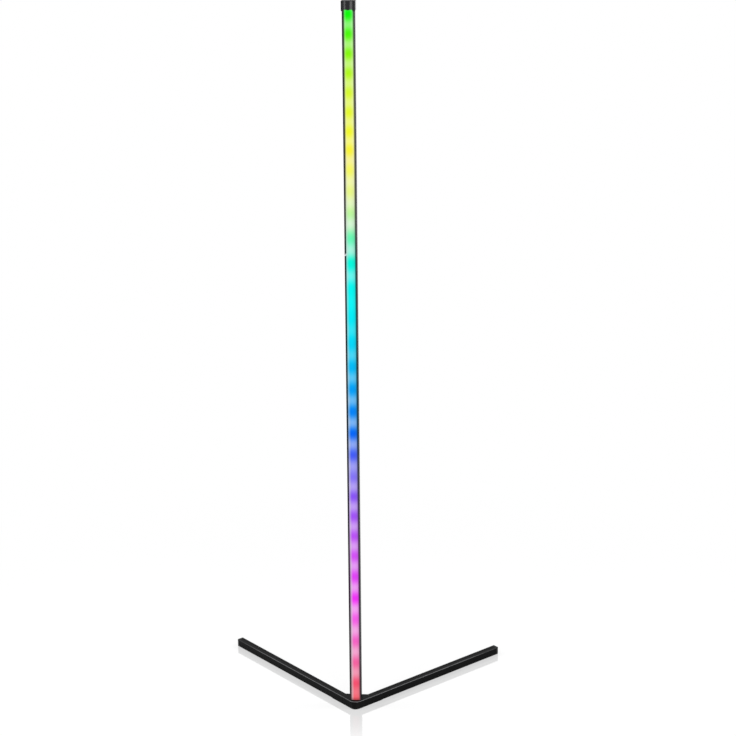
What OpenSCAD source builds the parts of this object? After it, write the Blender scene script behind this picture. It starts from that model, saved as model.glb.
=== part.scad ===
// Corner floor lamp: a black channel pole in three equal lengths with one milky light sleeve snapped
// along its front, standing on a cast corner with two square legs that follow the walls of a room.
// Millimetres. The origin is on the floor under the pole's axis. +Z is up, the light faces -Y into the
// corner of the room, and the legs run back from the corner, towards +Y and -X or +X.

/* [Lamp] */
// Height from the floor to the top of the cap
lamp_h = 1400; // [1200:10:1600]
// Length of a leg, from the sharp outer corner to its tip
leg_l = 396; // [320:5:450]
// Distance from the pole's axis forward to the sharp outer corner
corner_y = 24.5; // [23:0.5:28]

/* [Legs] */
// Width of a leg
leg_w = 14.6; // [13:0.1:16]
// Height of a leg
leg_h = 15.4; // [13:0.1:17]
// Wall of a leg's tube
leg_wall = 1.2; // [1:0.1:1.5]
// Radius on a leg's long edges
edge_r = 1.2; // [1:0.1:2]
// Width of the shallow groove along a leg's top
groove_w = 3; // [2:0.2:4]
// Depth of that groove
groove_d = 0.3; // [0.2:0.05:0.5]
// Length of an end plug's head
plug_head = 7; // [6:0.5:10]
// Corner radius of the head, seen from above
plug_r = 4.5; // [3:0.5:5]
// Radius that softens the head's end, seen from the side
plug_soft_r = 2.5; // [1:0.5:4]
// Length of an end plug inside its tube
plug_in = 14; // [10:1:25]
// Wall of that inner length
plug_wall = 1.5; // [1:0.1:2]

/* [Corner] */
// Outer radius of the cast corner's nose at its top, seen from above
nose_r = 18; // [16:0.5:20]
// Outer radius of the nose near the floor, seen from above
tip_r = 8; // [7:0.5:14]
// Height over the nose's underside where its front starts to lean back
lean_from = 2.5; // [2:0.5:6]
// Length of a cast arm, from the sharp outer corner to its tube
arm_l = 76; // [70:1:100]
// Length of the tongue on an arm that fills the tube's end
tongue_l = 34; // [26:1:50]
// Distance from the pole's axis back to the web's rear face
web_y = 17.5; // [16:0.5:22]
// Flat rim round the cover, inside the rounded lower edges
hub_rim = 0.3; // [0.2:0.1:0.8]
// Thickness of the roof over the hollow underside
hub_roof = 2.8; // [2.4:0.1:3.2]
// Half the width of the hollow underside
hollow_x = 23; // [21.5:0.5:26]
// Thickness of the plate that closes the underside
cover_t = 1.2; // [1:0.1:1.5]
// Width of the ledge that the plate seats on
ledge = 1.2; // [0.8:0.1:1.5]
// Radius of the posts round the pole's screws
post_r = 3; // [2.8:0.1:3.1]
// Radius of the round tongue that finds the pole's rear chamber
finder_r = 3.4; // [3.2:0.1:3.6]
// Height of that tongue
finder_h = 6; // [4:0.5:10]
// Radius of the wire hole through it
wire_hole_r = 2.2; // [1.8:0.1:2.4]
// Thickness of the gasket under the pole
gasket_t = 1; // [0.8:0.1:2]
// Margin of the gasket round the pole
gasket_edge = 0.7; // [0.3:0.1:1.2]

/* [Rubber pads] */
// Thickness of a pad
pad_t = 0.6; // [0.4:0.1:2]
// Radius of the pad under the pole
pad_r = 9.5; // [7:0.5:11]
// Radius of the pads near the legs' tips
tip_pad_r = 5; // [4:0.5:5.5]
// Distance from a leg's tip back to the middle of its pad
tip_pad_in = 20; // [16:1:40]
// Length of the pads under the cast arms
arm_pad_l = 64; // [20:1:65]
// Width of the pads under the cast arms
arm_pad_w = 6.4; // [4:0.1:6.6]
// Distance of those pads from the arms' outer faces
arm_pad_in = 0.5; // [0.3:0.1:1]

/* [Pole] */
// Width of the pole
pole_w = 23; // [22:0.1:25]
// Depth of the pole
pole_d = 20; // [19.5:0.1:22]
// Wall of the channel
pole_wall = 1.6; // [1.4:0.1:1.8]
// Radius on the channel's outer edges
pole_r = 1.8; // [1:0.1:2.5]
// Width of the front lips, measured from the pole's side
lip_w = 3.4; // [2.8:0.1:3.8]
// Thickness of the front lips
lip_t = 1.6; // [1.2:0.1:2]
// Distance from the lips' front back to the strip's shelf
shelf_y = 8; // [7:0.1:8.4]
// Thickness of the shelf
shelf_t = 1.6; // [1.2:0.1:1.8]
// Outer radius of a screw port
port_r = 2.6; // [2.3:0.1:2.8]
// Bore radius of a screw port
port_bore_r = 1.5; // [1.3:0.05:1.6]
// Width of the slot along a screw port
port_slot = 1.2; // [0.8:0.1:1.6]
// Height of the relief notch in the left lip at the upper joint
notch_h = 2.4; // [1.5:0.1:4]
// Depth of that notch from the pole's front
notch_d = 2.6; // [1.8:0.1:3]

/* [Light sleeve and strip] */
// Wall of the milky sleeve
sleeve_wall = 1.6; // [1.2:0.1:2]
// Thickness of the sleeve's flanges behind the lips
flange_t = 1.4; // [1:0.1:2]
// Height of the sleeve's edges in front of the lips
sleeve_rise = 0.3; // [0.1:0.1:0.8]
// Height of the sleeve's domed face over those edges
dome_h = 0.8; // [0.4:0.1:1.5]
// Width of the light strip
strip_w = 10; // [8:0.5:12]
// Thickness of the light strip
strip_t = 0.3; // [0.2:0.05:0.5]
// Height of the strip's lower end over the pole's lower end
strip_lift = 11; // [9:0.5:16]
// Distance from the strip's upper end to the pole's upper end
strip_short = 3; // [2:0.5:10]
// Side of a light's square package
led_a = 5; // [3.5:0.1:5.4]
// Thickness of a light's package
led_t = 1.5; // [1:0.1:1.8]
// Radius of the round window in a package
led_window_r = 2; // [1.4:0.1:2.2]
// Distance between two lights
led_pitch = 42.7; // [30:0.1:60]
// Height of the first light over the strip's lower end
led_first = 8; // [6:0.5:20]
// Side of a driver chip beside each light
chip_a = 3; // [2:0.1:4]
// Thickness of a driver chip
chip_t = 0.9; // [0.6:0.1:1.2]

/* [Joints in the pole] */
// Length of a splice
splice_l = 84; // [70:2:120]
// Thickness of a splice's cross bar
splice_t = 2.4; // [2:0.1:2.8]
// Distance of a splice's screws from the joint
splice_screw_z = 26; // [18:1:30]
// Radius of a splice screw's thread
splice_screw_r = 1.9; // [1.5:0.1:2]
// Radius of a splice screw's head
splice_head_r = 3.2; // [2.8:0.1:3.8]
// Thickness of a splice screw's head
splice_head_t = 1.8; // [1.2:0.1:2.2]

/* [Cap] */
// Height of the cap
cap_h = 18.8; // [15:0.1:22]
// Height of the cap over the pole's upper end
cap_rise = 10.5; // [8:0.5:11]
// Wall of the cap
cap_wall = 1.3; // [1:0.1:1.8]
// Thickness of the cap's roof
cap_roof = 2.6; // [2.2:0.1:4]
// Radius on the cap's corners, seen from above
cap_r = 3; // [2:0.1:3.4]
// Radius of the cap's round front, seen from above
cap_front_r = 26; // [22:0.5:40]
// Size of the bevel round the cap's upper and lower edges
cap_bevel = 0.8; // [0.4:0.1:1.2]
// Height of the opening in the cap's front that shows the sleeve
cap_open_h = 2.8; // [1.4:0.1:4]
// Radius of the opening's upper corners
cap_open_r = 1.2; // [0.4:0.1:1.4]
// Radius of the round lip that hangs into the opening
cap_lip_r = 4.2; // [3:0.1:6]
// Length by which the lip hangs into the opening
cap_lip_h = 1; // [0.4:0.1:1.4]

/* [Screws] */
// Radius of the thread of the long screws in the pole's ports
port_screw_r = 1.4; // [1.2:0.05:1.5]
// Radius of those screws' heads
port_head_r = 2.6; // [2.3:0.1:2.8]
// Thickness of the lower ones' pan heads
port_head_t = 2; // [1.4:0.1:2.2]
// Reach of those screws into the ports
port_screw_in = 16; // [10:1:30]
// Radius of the thread of a leg's screw
leg_screw_r = 1.9; // [1.5:0.1:2.2]
// Radius of the head of a leg's screw
leg_head_r = 3.8; // [3.2:0.1:4.2]
// Length of a leg's screw
leg_screw_l = 9; // [7:0.5:10]
// Radius of the thread of a cover's screw
cover_screw_r = 1.1; // [0.9:0.1:1.3]
// Radius of the head of a cover's screw
cover_head_r = 2.2; // [1.8:0.1:2.4]
// Length of a cover's screw
cover_screw_l = 7; // [5:0.5:8.5]
// Radius of the posts that take the cover's screws
cover_post_r = 2.8; // [2.4:0.1:3.2]

/* [Supply and control] */
// Height of the inlet's axis over the floor
inlet_z = 7; // [6.8:0.1:7.4]
// Radius of the inlet's threaded barrel
inlet_r = 3.9; // [3.5:0.1:4]
// Radius of the inlet's flange inside the wall
inlet_flange_r = 4.4; // [4.2:0.1:4.5]
// Thickness of that flange
inlet_flange_t = 1.2; // [0.8:0.1:1.6]
// Length of the barrel inside the flange
inlet_in = 8; // [7:0.5:8.5]
// Length of the barrel behind the web's rear face
inlet_out = 2.4; // [2:0.1:4]
// Radius of the inlet's bore
inlet_bore_r = 2.85; // [2.5:0.05:3]
// Depth of the inlet's bore
inlet_bore_l = 10; // [8:0.5:11]
// Radius of the inlet's centre pin
inlet_pin_r = 1.05; // [0.9:0.05:1.25]
// Radius of the inlet's ring nut
nut_r = 5.2; // [4.8:0.1:5.6]
// Thickness of the inlet's ring nut
nut_t = 1.8; // [1.4:0.1:1.9]
// Width of the controller's circuit board
board_w = 15; // [12:0.5:17]
// Length of the controller's circuit board
board_l = 62; // [50:1:90]
// Thickness of the controller's circuit board
board_t = 1; // [0.8:0.1:1.6]
// Height of the board's lower end over the pole's lower end
board_lift = 18; // [16:0.5:30]
// Radius of a supply wire
supply_r = 0.6; // [0.4:0.05:0.7]
// Radius of a wire to the strip
strip_wire_r = 0.4; // [0.3:0.05:0.5]
// Distance between the strip's wires
strip_wire_gap = 2; // [1.5:0.1:2.3]

/* [Clearances] */
// Gap between a tongue or plug and its tube, on each side
tube_gap = 0.2; // [0.1:0.05:0.4]
// Gap between the sleeve and the channel, on each side
sleeve_gap = 0.2; // [0.1:0.05:0.4]
// Gap between a splice and the channel
splice_gap = 0.25; // [0.15:0.05:0.4]
// Gap between the cap's skirt and the pole
cap_gap = 0.2; // [0.1:0.05:0.4]
// Gap between the cover and the corner's underside
cover_gap = 0.2; // [0.1:0.05:0.3]
// Gap between a screw or barrel and the hole it passes
hole_gap = 0.15; // [0.1:0.05:0.25]

/* [Hidden] */
$fn = 64;
// Height of the corner's flat top, where the gasket lies
top_z = pad_t + leg_h;
// Lower and upper end of the pole, and the length of its three equal sections
pole_z = top_z + gasket_t;
pole_top = lamp_h - cap_rise;
section_l = (pole_top - pole_z) / 3;
joint_z = [pole_z + section_l, pole_z + 2 * section_l];
// Planes across the channel, from its front at -Y to its rear
front_y = -pole_d / 2;
lip_back_y = front_y + lip_t;
shelf_front_y = front_y + shelf_y;
chamber_y = shelf_front_y + shelf_t;
rear_in_y = pole_d / 2 - pole_wall;
inner_w = pole_w - 2 * pole_wall;
mouth_w = pole_w - 2 * lip_w;
// Screw ports grow a little into the walls that carry them
port_root = 0.3;
port_x = inner_w / 2 - port_r + port_root;
port_y = rear_in_y - port_r + port_root;
// The sleeve's outer width in the mouth, and the circle of its domed face
sleeve_w = mouth_w - 2 * sleeve_gap;
sleeve_face_y = front_y - sleeve_rise;
dome_r = (pow(sleeve_w / 2, 2) + pow(dome_h, 2)) / (2 * dome_h);
dome_y = sleeve_face_y - dome_h;
// Wall round the hollow underside
hub_wall = edge_r + hub_rim + ledge;
// The nose's round face starts this far outside the flat faces, so that it blends in a little late
nose_skin = 0.05;
// Middle of the cast corner's round nose, and of its tip near the floor
nose_y = nose_r * sqrt(2) - corner_y;
tip_y = tip_r * sqrt(2) - corner_y;
// The tip's reach forward from the nose's middle
tip_reach = nose_y - tip_y + tip_r;
// The finder and its wire hole stand between the ports, behind the shelf
finder_y = chamber_y + splice_gap + finder_r;
// Posts for the cover's screws, clear of the inlet and inside the hollow
cover_post_x = hollow_x - cover_post_r - 2.4;
cover_post_y = web_y - hub_wall - cover_post_r - 3.4;
hollow_top = top_z - hub_roof;
cover_top = pad_t + cover_t;
post_foot = cover_top + port_head_t + 0.5;
web_in_y = web_y - hub_wall;
inlet_end_y = web_in_y - inlet_flange_t - inlet_in;
inlet_base_y = web_y + inlet_out - inlet_bore_l;
// The root of the inlet's pin, and the section of its solder lugs
inlet_pin_in = 1;
lug_w = 1.4;
lug_t = 0.6;
// The strip and its lights
strip_z = pole_z + strip_lift;
strip_top = pole_top - strip_short;
strip_face_y = shelf_front_y - strip_t;
led_n = floor((strip_top - strip_z - led_first - led_a) / led_pitch) + 1;
function led_z(i) = strip_z + led_first + i * led_pitch;
// The controller's board on the rear of the shelf, and the opening for the strip's wires
board_z = pole_z + board_lift;
board_face_y = chamber_y + board_t;
slot_z = pole_z + strip_lift / 2;
slot_h = 3.6;
slot_w = 3 * strip_wire_gap + 2 * strip_wire_r + 1.2;
// The cap's outline
cap_z = lamp_h - cap_h;
cap_side = cap_wall + cap_gap;
cap_w = pole_w + 2 * cap_side;
cap_back_y = pole_d / 2 + cap_side;
cap_front_y = dome_y - cap_gap - cap_wall - 0.6;
// Middle of a leg's screw, along the leg
leg_screw_x = arm_l + tongue_l / 2;
// Where an arm's groove starts, past the web
groove_x = (web_y + corner_y) * sqrt(2) + 3;

// ---- shared shapes ----

// A rectangle with round corners, about the origin
module rounded_rect(w, h, r) {
    square([w - 2 * r, h], center = true);
    square([w, h - 2 * r], center = true);
    for (sx = [-1, 1], sy = [-1, 1])
        translate([sx * (w / 2 - r), sy * (h / 2 - r)]) circle(r);
}

// A shape and its mirror image across the pole's axis
module both_sides() {
    children();
    mirror([1, 0, 0]) children();
}

// Puts a shape on the right leg: X along the leg from the sharp corner, Y across it, 0 outside
module on_leg() {
    translate([0, -corner_y, 0]) rotate([0, 0, 45]) children();
}

// A square bar along a leg from x0 to x1, centred in the leg's section
module bar(x0, x1, w, h, r) {
    translate([x0, leg_w / 2, pad_t + leg_h / 2])
        rotate([90, 0, 90]) linear_extrude(x1 - x0) rounded_rect(w, h, r);
}

// The shallow groove along a leg's top, from x0 to x1
module groove(x0, x1) {
    translate([x0, leg_w / 2 - groove_w / 2, top_z - groove_d])
        cube([x1 - x0, groove_w, groove_d + 1]);
}

// Seen from above, the corner's outline set in from its outer faces, back to the plane rear_y
module corner_plan(inset, half_w, rear_y) {
    reach = half_w * 2 + nose_r;
    intersection() {
        translate([0, -corner_y]) rotate(45) {
            translate([nose_r, inset]) square(reach);
            translate([inset, nose_r]) square(reach);
            translate([nose_r, nose_r]) circle(nose_r - inset);
        }
        translate([-half_w, -corner_y]) square([2 * half_w, rear_y + corner_y]);
    }
}

// A screw along Z: its head's flat face at z = 0, the thread above it
module pan_screw(r, l, head_r, head_t) {
    cylinder(r = r, h = l);
    translate([0, 0, -head_t]) difference() {
        cylinder(r = head_r, h = head_t);
        for (a = [0, 90]) rotate([0, 0, a])
            translate([-head_r * 0.55, -head_r * 0.11, -1]) cube([head_r * 1.1, head_r * 0.22, 1 + head_t / 2]);
    }
}

// The cone of a countersunk head whose flat face is at z = 0
module sink(r, head_r) {
    cylinder(r1 = head_r, r2 = r, h = head_r - r);
}

// A countersunk screw along Z with its flat face at z = 0
module sunk_screw(r, l, head_r) {
    difference() {
        union() {
            sink(r, head_r);
            cylinder(r = r, h = l);
        }
        translate([0, 0, -1]) cylinder(r = head_r * 0.38, h = 1 + (head_r - r) * 0.6, $fn = 6);
    }
}

// Unit vector along v
function unit(v) = v / norm(v);

// Direction of a route at its point i
function heading(p, i) = unit(
    (i == 0 ? [0, 0, 0] : unit(p[i] - p[i - 1])) + (i == len(p) - 1 ? [0, 0, 0] : unit(p[i + 1] - p[i]))
);

// A round wire swept along the points of a route that stays in one plane whose normal is side
module wire(p, r, side = [1, 0, 0], n = 8) {
    rings = [
        for (i = [0:len(p) - 1])
            let (up = cross(heading(p, i), side))
                for (k = [0:n - 1]) p[i] + r * (side * cos(360 * k / n) + up * sin(360 * k / n))
    ];
    walls = [
        for (i = [0:len(p) - 2], k = [0:n - 1])
            let (a = i * n + k, b = i * n + (k + 1) % n)
                each [[a, b, b + n], [a, b + n, a + n]]
    ];
    last = (len(p) - 1) * n;
    polyhedron(rings, concat(
        walls, [[for (k = [n - 1:-1:0]) k]], [[for (k = [0:n - 1]) last + k]]
    ));
}

// ---- base ----

// What is cut from two crossing bars to leave a round tip whose upper and lower edges are round too
module tip_cutter() {
    outer_r = tip_r + nose_skin;
    translate([0, tip_y, 0]) rotate([0, 0, 225]) rotate_extrude(angle = 90) difference() {
        translate([outer_r - 2 * edge_r, pad_t - 1]) square([tip_r, leg_h + 2]);
        translate([outer_r - leg_w, pad_t + leg_h / 2]) rounded_rect(2 * leg_w, leg_h, edge_r);
    }
}

// What is cut in front of the nose's face, which leans back from the tip to the wider curve at the top
module nose_cutter() {
    outer_r = nose_r + nose_skin;
    lean = (tip_reach - outer_r) / (leg_h - lean_from);
    foot = pad_t - 1;
    far = tip_reach + 3 * edge_r;
    translate([0, nose_y, 0]) rotate([0, 0, 225]) rotate_extrude(angle = 90) polygon(concat(
        [[far, top_z + 1], [far, foot], [outer_r + lean * (top_z - foot), foot]],
        [for (a = [0:15:90]) let (z = top_z - edge_r * (1 - sin(a)))
            [outer_r + lean * (top_z - z) - edge_r * (1 - cos(a)), z]],
        [[outer_r - edge_r, top_z + 1]]
    ));
}

// The cast corner: two crossing bars with a web between, hollow from below, and a tongue per leg
module corner_hub() {
    color([0.06, 0.06, 0.065]) difference() {
        union() {
            both_sides() on_leg() {
                bar(0, arm_l, leg_w, leg_h, edge_r);
                bar(arm_l - 1, arm_l + tongue_l, leg_w - 2 * (leg_wall + tube_gap),
                    leg_h - 2 * (leg_wall + tube_gap) - groove_d, edge_r / 2);
            }
            translate([0, 0, pad_t]) linear_extrude(leg_h)
                corner_plan(leg_w / 2, 3 * leg_w + nose_r, web_y);
            translate([0, finder_y, top_z - 1]) cylinder(r = finder_r, h = 1 + finder_h);
        }
        tip_cutter();
        nose_cutter();
        difference() {
            union() {
                translate([0, 0, pad_t - 1]) linear_extrude(1 + cover_t)
                    corner_plan(hub_wall - ledge, hollow_x + ledge, web_in_y + ledge);
                translate([0, 0, pad_t]) linear_extrude(hollow_top - pad_t)
                    corner_plan(hub_wall, hollow_x, web_in_y);
            }
            both_sides() {
                translate([port_x, port_y, post_foot]) cylinder(r = post_r, h = leg_h);
                translate([cover_post_x, cover_post_y, cover_top]) cylinder(r = cover_post_r, h = leg_h);
            }
        }
        both_sides() {
            translate([port_x, port_y, 0]) cylinder(r = port_screw_r + hole_gap, h = top_z + 1);
            translate([cover_post_x, cover_post_y, 0])
                cylinder(r = cover_screw_r, h = pad_t + cover_screw_l + 1);
            on_leg() {
                groove(groove_x, arm_l + 1);
                translate([leg_screw_x, leg_w / 2, 0]) cylinder(r = leg_screw_r, h = pad_t + leg_screw_l + 1);
                translate([leg_screw_x, leg_w / 2, pad_t]) sink(leg_screw_r, leg_head_r + hole_gap);
            }
        }
        translate([0, finder_y, hollow_top - 1]) cylinder(r = wire_hole_r, h = hub_roof + finder_h + 2);
        translate([0, web_in_y - 1, inlet_z]) rotate([-90, 0, 0])
            cylinder(r = inlet_r + hole_gap, h = hub_wall + 2);
    }
}

// The plate that closes the underside
module hub_cover() {
    color([0.1, 0.1, 0.11]) difference() {
        translate([0, 0, pad_t]) linear_extrude(cover_t) corner_plan(
            hub_wall - ledge + cover_gap, hollow_x + ledge - cover_gap, web_in_y + ledge - cover_gap
        );
        both_sides() translate([cover_post_x, cover_post_y, pad_t]) {
            translate([0, 0, -1]) cylinder(r = cover_screw_r + hole_gap, h = cover_t + 2);
            sink(cover_screw_r, cover_head_r);
        }
    }
}

module cover_screws() {
    color("gray") both_sides() translate([cover_post_x, cover_post_y, pad_t])
        sunk_screw(cover_screw_r, cover_screw_l, cover_head_r);
}

// The two long screws from below that hold the pole
module pole_screws() {
    color("gray") both_sides() translate([port_x, port_y, post_foot])
        pan_screw(port_screw_r, pole_z - post_foot + port_screw_in, port_head_r, port_head_t);
}

// The gasket between the pole and the corner
module foot_gasket() {
    color([0.03, 0.03, 0.03]) difference() {
        translate([0, 0, top_z]) linear_extrude(gasket_t) difference() {
            rounded_rect(pole_w + 2 * gasket_edge, pole_d + 2 * gasket_edge, pole_r + gasket_edge);
            for (s = [-1, 1]) translate([s * port_x, port_y]) circle(port_screw_r + hole_gap);
            translate([0, finder_y]) circle(finder_r + hole_gap);
        }
    }
}

// One leg's square tube with a groove along its top and the hole for its screw
module leg() {
    tube_end = leg_l - plug_head;
    color([0.07, 0.07, 0.075]) on_leg() difference() {
        bar(arm_l, tube_end, leg_w, leg_h, edge_r);
        translate([0, 0, -groove_d / 2]) bar(
            arm_l - 1, tube_end + 1, leg_w - 2 * leg_wall, leg_h - 2 * leg_wall - groove_d, edge_r / 2
        );
        groove(arm_l - 1, tube_end + 1);
        translate([leg_screw_x, leg_w / 2, 0]) cylinder(r = leg_screw_r + hole_gap, h = pad_t + leg_h / 2);
        translate([leg_screw_x, leg_w / 2, pad_t]) sink(leg_screw_r, leg_head_r);
    }
}

module leg_right() {
    leg();
}

module leg_left() {
    mirror([1, 0, 0]) leg();
}

module leg_screws() {
    color("gray") both_sides() on_leg() translate([leg_screw_x, leg_w / 2, pad_t])
        sunk_screw(leg_screw_r, leg_screw_l, leg_head_r);
}

// An end plug: a head with round corners, and a hollow square tongue inside the tube
module end_plug() {
    head_x = leg_l - plug_head;
    in_w = leg_w - 2 * (leg_wall + tube_gap);
    in_h = leg_h - 2 * (leg_wall + tube_gap) - groove_d;
    color([0.05, 0.05, 0.05]) on_leg() {
        intersection() {
            bar(head_x, leg_l, leg_w, leg_h, edge_r);
            translate([head_x, leg_w / 2, 0]) linear_extrude(top_z + 1)
                rounded_rect(2 * plug_head, leg_w, plug_r);
            translate([head_x, leg_w, pad_t + leg_h / 2]) rotate([90, 0, 0]) linear_extrude(leg_w)
                rounded_rect(2 * plug_head, leg_h, plug_soft_r);
        }
        translate([0, 0, -groove_d / 2]) difference() {
            bar(head_x - plug_in, head_x + 1, in_w, in_h, edge_r / 2);
            bar(head_x - plug_in - 1, head_x - 1, in_w - 2 * plug_wall, in_h - 2 * plug_wall, edge_r / 4);
        }
    }
}

module plug_right() {
    end_plug();
}

module plug_left() {
    mirror([1, 0, 0]) end_plug();
}

module pad_corner() {
    color([0.02, 0.02, 0.02]) cylinder(r = pad_r, h = pad_t);
}

// A long pad under each cast arm, along its outer face
module pads_arm() {
    color([0.02, 0.02, 0.02]) both_sides() on_leg()
        translate([arm_l - 3 - arm_pad_l / 2, arm_pad_in + arm_pad_w / 2, 0]) linear_extrude(pad_t)
            rounded_rect(arm_pad_l, arm_pad_w, arm_pad_w / 4);
}

// The round pad near a leg's tip
module tip_pad() {
    color([0.02, 0.02, 0.02]) on_leg() translate([leg_l - tip_pad_in, leg_w / 2, 0])
        cylinder(r = tip_pad_r, h = pad_t);
}

module pad_right() {
    tip_pad();
}

module pad_left() {
    mirror([1, 0, 0]) tip_pad();
}

// ---- pole ----

// A screw port's tube, seen from above, growing into the channel's rear corner
module port_ring() {
    difference() {
        circle(port_r);
        circle(port_bore_r);
        rotate(225) translate([0, -port_slot / 2]) square([2 * port_r, port_slot]);
    }
}

// The channel's section: two lips, a shelf for the strip, a rear chamber and two screw ports
module pole_section() {
    difference() {
        rounded_rect(pole_w, pole_d, pole_r);
        translate([-inner_w / 2, lip_back_y]) square([inner_w, shelf_front_y - lip_back_y]);
        translate([-mouth_w / 2, front_y - 1]) square([mouth_w, lip_t + 2]);
        translate([-inner_w / 2, chamber_y]) square([inner_w, rear_in_y - chamber_y]);
    }
    translate([port_x, port_y]) port_ring();
    translate([-port_x, port_y]) mirror([1, 0]) port_ring();
}

// One length of channel from z0 up, with the holes for the splice screws at the heights given
module channel(z0, screw_z) {
    difference() {
        translate([0, 0, z0]) linear_extrude(section_l) pole_section();
        for (z = screw_z) translate([0, rear_in_y - 1, z]) rotate([-90, 0, 0])
            cylinder(r = splice_screw_r + hole_gap, h = pole_wall + 2);
    }
}

module pole_lower() {
    color([0.05, 0.05, 0.055]) difference() {
        channel(pole_z, [joint_z[0] - splice_screw_z]);
        translate([0, shelf_front_y + shelf_t / 2, slot_z]) cube([slot_w, shelf_t + 1, slot_h], center = true);
    }
}

module pole_middle() {
    color([0.055, 0.055, 0.06]) channel(joint_z[0], [joint_z[0] + splice_screw_z, joint_z[1] - splice_screw_z]);
}

// The upper length, with the relief notch through its left lip at the joint
module pole_upper() {
    color([0.05, 0.05, 0.055]) difference() {
        channel(joint_z[1], [joint_z[1] + splice_screw_z]);
        translate([-pole_w / 2 - 1, front_y - 1, joint_z[1] - 1])
            cube([lip_w + 2, notch_d + 1, notch_h + 1]);
    }
}

// A T-shaped splice that bridges a joint inside the rear chamber, drawn against the rear wall
module splice(z) {
    bar_y = chamber_y + splice_gap;
    stem_w = 2 * (port_x - port_r - splice_gap);
    color([0.75, 0.75, 0.77]) difference() {
        translate([0, 0, z - splice_l / 2]) linear_extrude(splice_l) {
            translate([-inner_w / 2 + splice_gap, bar_y]) square([inner_w - 2 * splice_gap, splice_t]);
            translate([-stem_w / 2, bar_y]) square([stem_w, rear_in_y - bar_y]);
        }
        for (s = [-1, 1]) translate([0, bar_y - 1, z + s * splice_screw_z]) rotate([-90, 0, 0])
            cylinder(r = splice_screw_r, h = pole_d);
    }
}

module splice_lower() {
    splice(joint_z[0]);
}

module splice_upper() {
    splice(joint_z[1]);
}

module splice_screws() {
    color("gray") for (z = joint_z, s = [-1, 1])
        translate([0, pole_d / 2, z + s * splice_screw_z]) rotate([90, 0, 0])
            pan_screw(splice_screw_r, pole_d / 2 - chamber_y - splice_gap, splice_head_r, splice_head_t);
}

// ---- light ----

// The sleeve's section: a domed face in the mouth and a flange behind each lip, hollow and open behind
module sleeve_section() {
    hollow_w = sleeve_w - 2 * sleeve_wall;
    flange_back_y = lip_back_y + flange_t;
    difference() {
        union() {
            translate([-sleeve_w / 2, sleeve_face_y]) square([sleeve_w, flange_back_y - sleeve_face_y]);
            translate([-inner_w / 2 + sleeve_gap, lip_back_y]) square([inner_w - 2 * sleeve_gap, flange_t]);
            intersection() {
                translate([0, dome_y + dome_r]) circle(dome_r, $fn = 256);
                translate([-sleeve_w / 2, dome_y - 1]) square([sleeve_w, dome_h + 1]);
            }
        }
        intersection() {
            translate([0, dome_y + dome_r]) circle(dome_r - sleeve_wall, $fn = 256);
            translate([-hollow_w / 2, dome_y]) square([hollow_w, flange_back_y + 1 - dome_y]);
        }
    }
}

module light_sleeve() {
    color([0.95, 0.97, 0.98]) translate([0, 0, pole_z]) linear_extrude(pole_top - pole_z) sleeve_section();
}

module led_strip() {
    color([0.9, 0.9, 0.88]) translate([-strip_w / 2, strip_face_y, strip_z])
        cube([strip_w, strip_t, strip_top - strip_z]);
}

module led_lights() {
    color([1, 0.98, 0.85]) for (i = [0:led_n - 1]) translate([0, strip_face_y, led_z(i)]) rotate([90, 0, 0])
        difference() {
            translate([0, 0, led_t / 2]) cube([led_a, led_a, led_t], center = true);
            translate([0, 0, led_t * 0.6]) cylinder(r = led_window_r, h = led_t);
        }
}

// A driver chip on the strip below each light but the first
module led_chips() {
    color([0.08, 0.08, 0.08]) for (i = [1:led_n - 1])
        translate([-chip_a / 2, strip_face_y - chip_t, led_z(i) - led_pitch / 3 - chip_a / 2])
            cube([chip_a, chip_t, chip_a]);
}

// ---- cap ----

// Seen from above, the cap: square to the pole behind, with a round front, set in by inset
module cap_plan(inset) {
    intersection() {
        translate([0, (cap_back_y + cap_front_y) / 2]) rounded_rect(
            cap_w - 2 * inset, cap_back_y - cap_front_y - 2 * inset, cap_r - inset
        );
        translate([0, cap_front_y + cap_front_r]) circle(cap_front_r - inset, $fn = 128);
    }
}

// The cap: a skirt round the pole's end with an opening for the sleeve, a small lip that hangs into
// the opening, and a roof on two screw posts
module top_cap() {
    color([0.04, 0.04, 0.045]) difference() {
        union() {
            difference() {
                hull() {
                    translate([0, 0, cap_z]) linear_extrude(cap_h) cap_plan(cap_bevel);
                    translate([0, 0, cap_z + cap_bevel]) linear_extrude(cap_h - 2 * cap_bevel) cap_plan(0);
                }
                translate([0, dome_y, cap_z]) rotate([90, 0, 0]) linear_extrude(cap_wall + 4)
                    rounded_rect(mouth_w, 2 * cap_open_h, cap_open_r);
            }
            translate([0, dome_y - cap_gap, cap_z + cap_open_h - cap_lip_h + cap_lip_r]) rotate([90, 0, 0])
                cylinder(r = cap_lip_r, h = cap_wall);
        }
        difference() {
            union() {
                translate([0, 0, cap_z - 1]) linear_extrude(pole_top - cap_z + 1) {
                    rounded_rect(pole_w + 2 * cap_gap, pole_d + 2 * cap_gap, pole_r + cap_gap);
                    translate([-mouth_w / 2, dome_y - cap_gap]) square([mouth_w, pole_d / 2]);
                }
                translate([0, 0, pole_top - 1]) linear_extrude(cap_rise - cap_roof + 1)
                    rounded_rect(pole_w - pole_wall, pole_d - pole_wall, pole_r);
            }
            both_sides() translate([port_x, port_y, pole_top]) cylinder(r = port_r, h = cap_rise);
        }
        both_sides() translate([port_x, port_y, lamp_h]) mirror([0, 0, 1]) {
            translate([0, 0, -1]) cylinder(r = port_screw_r + hole_gap, h = cap_rise + 2);
            sink(port_screw_r, port_head_r);
        }
    }
}

module cap_screws() {
    color("gray") both_sides() translate([port_x, port_y, lamp_h]) mirror([0, 0, 1])
        sunk_screw(port_screw_r, cap_rise + port_screw_in, port_head_r);
}

// ---- supply and control ----

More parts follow.
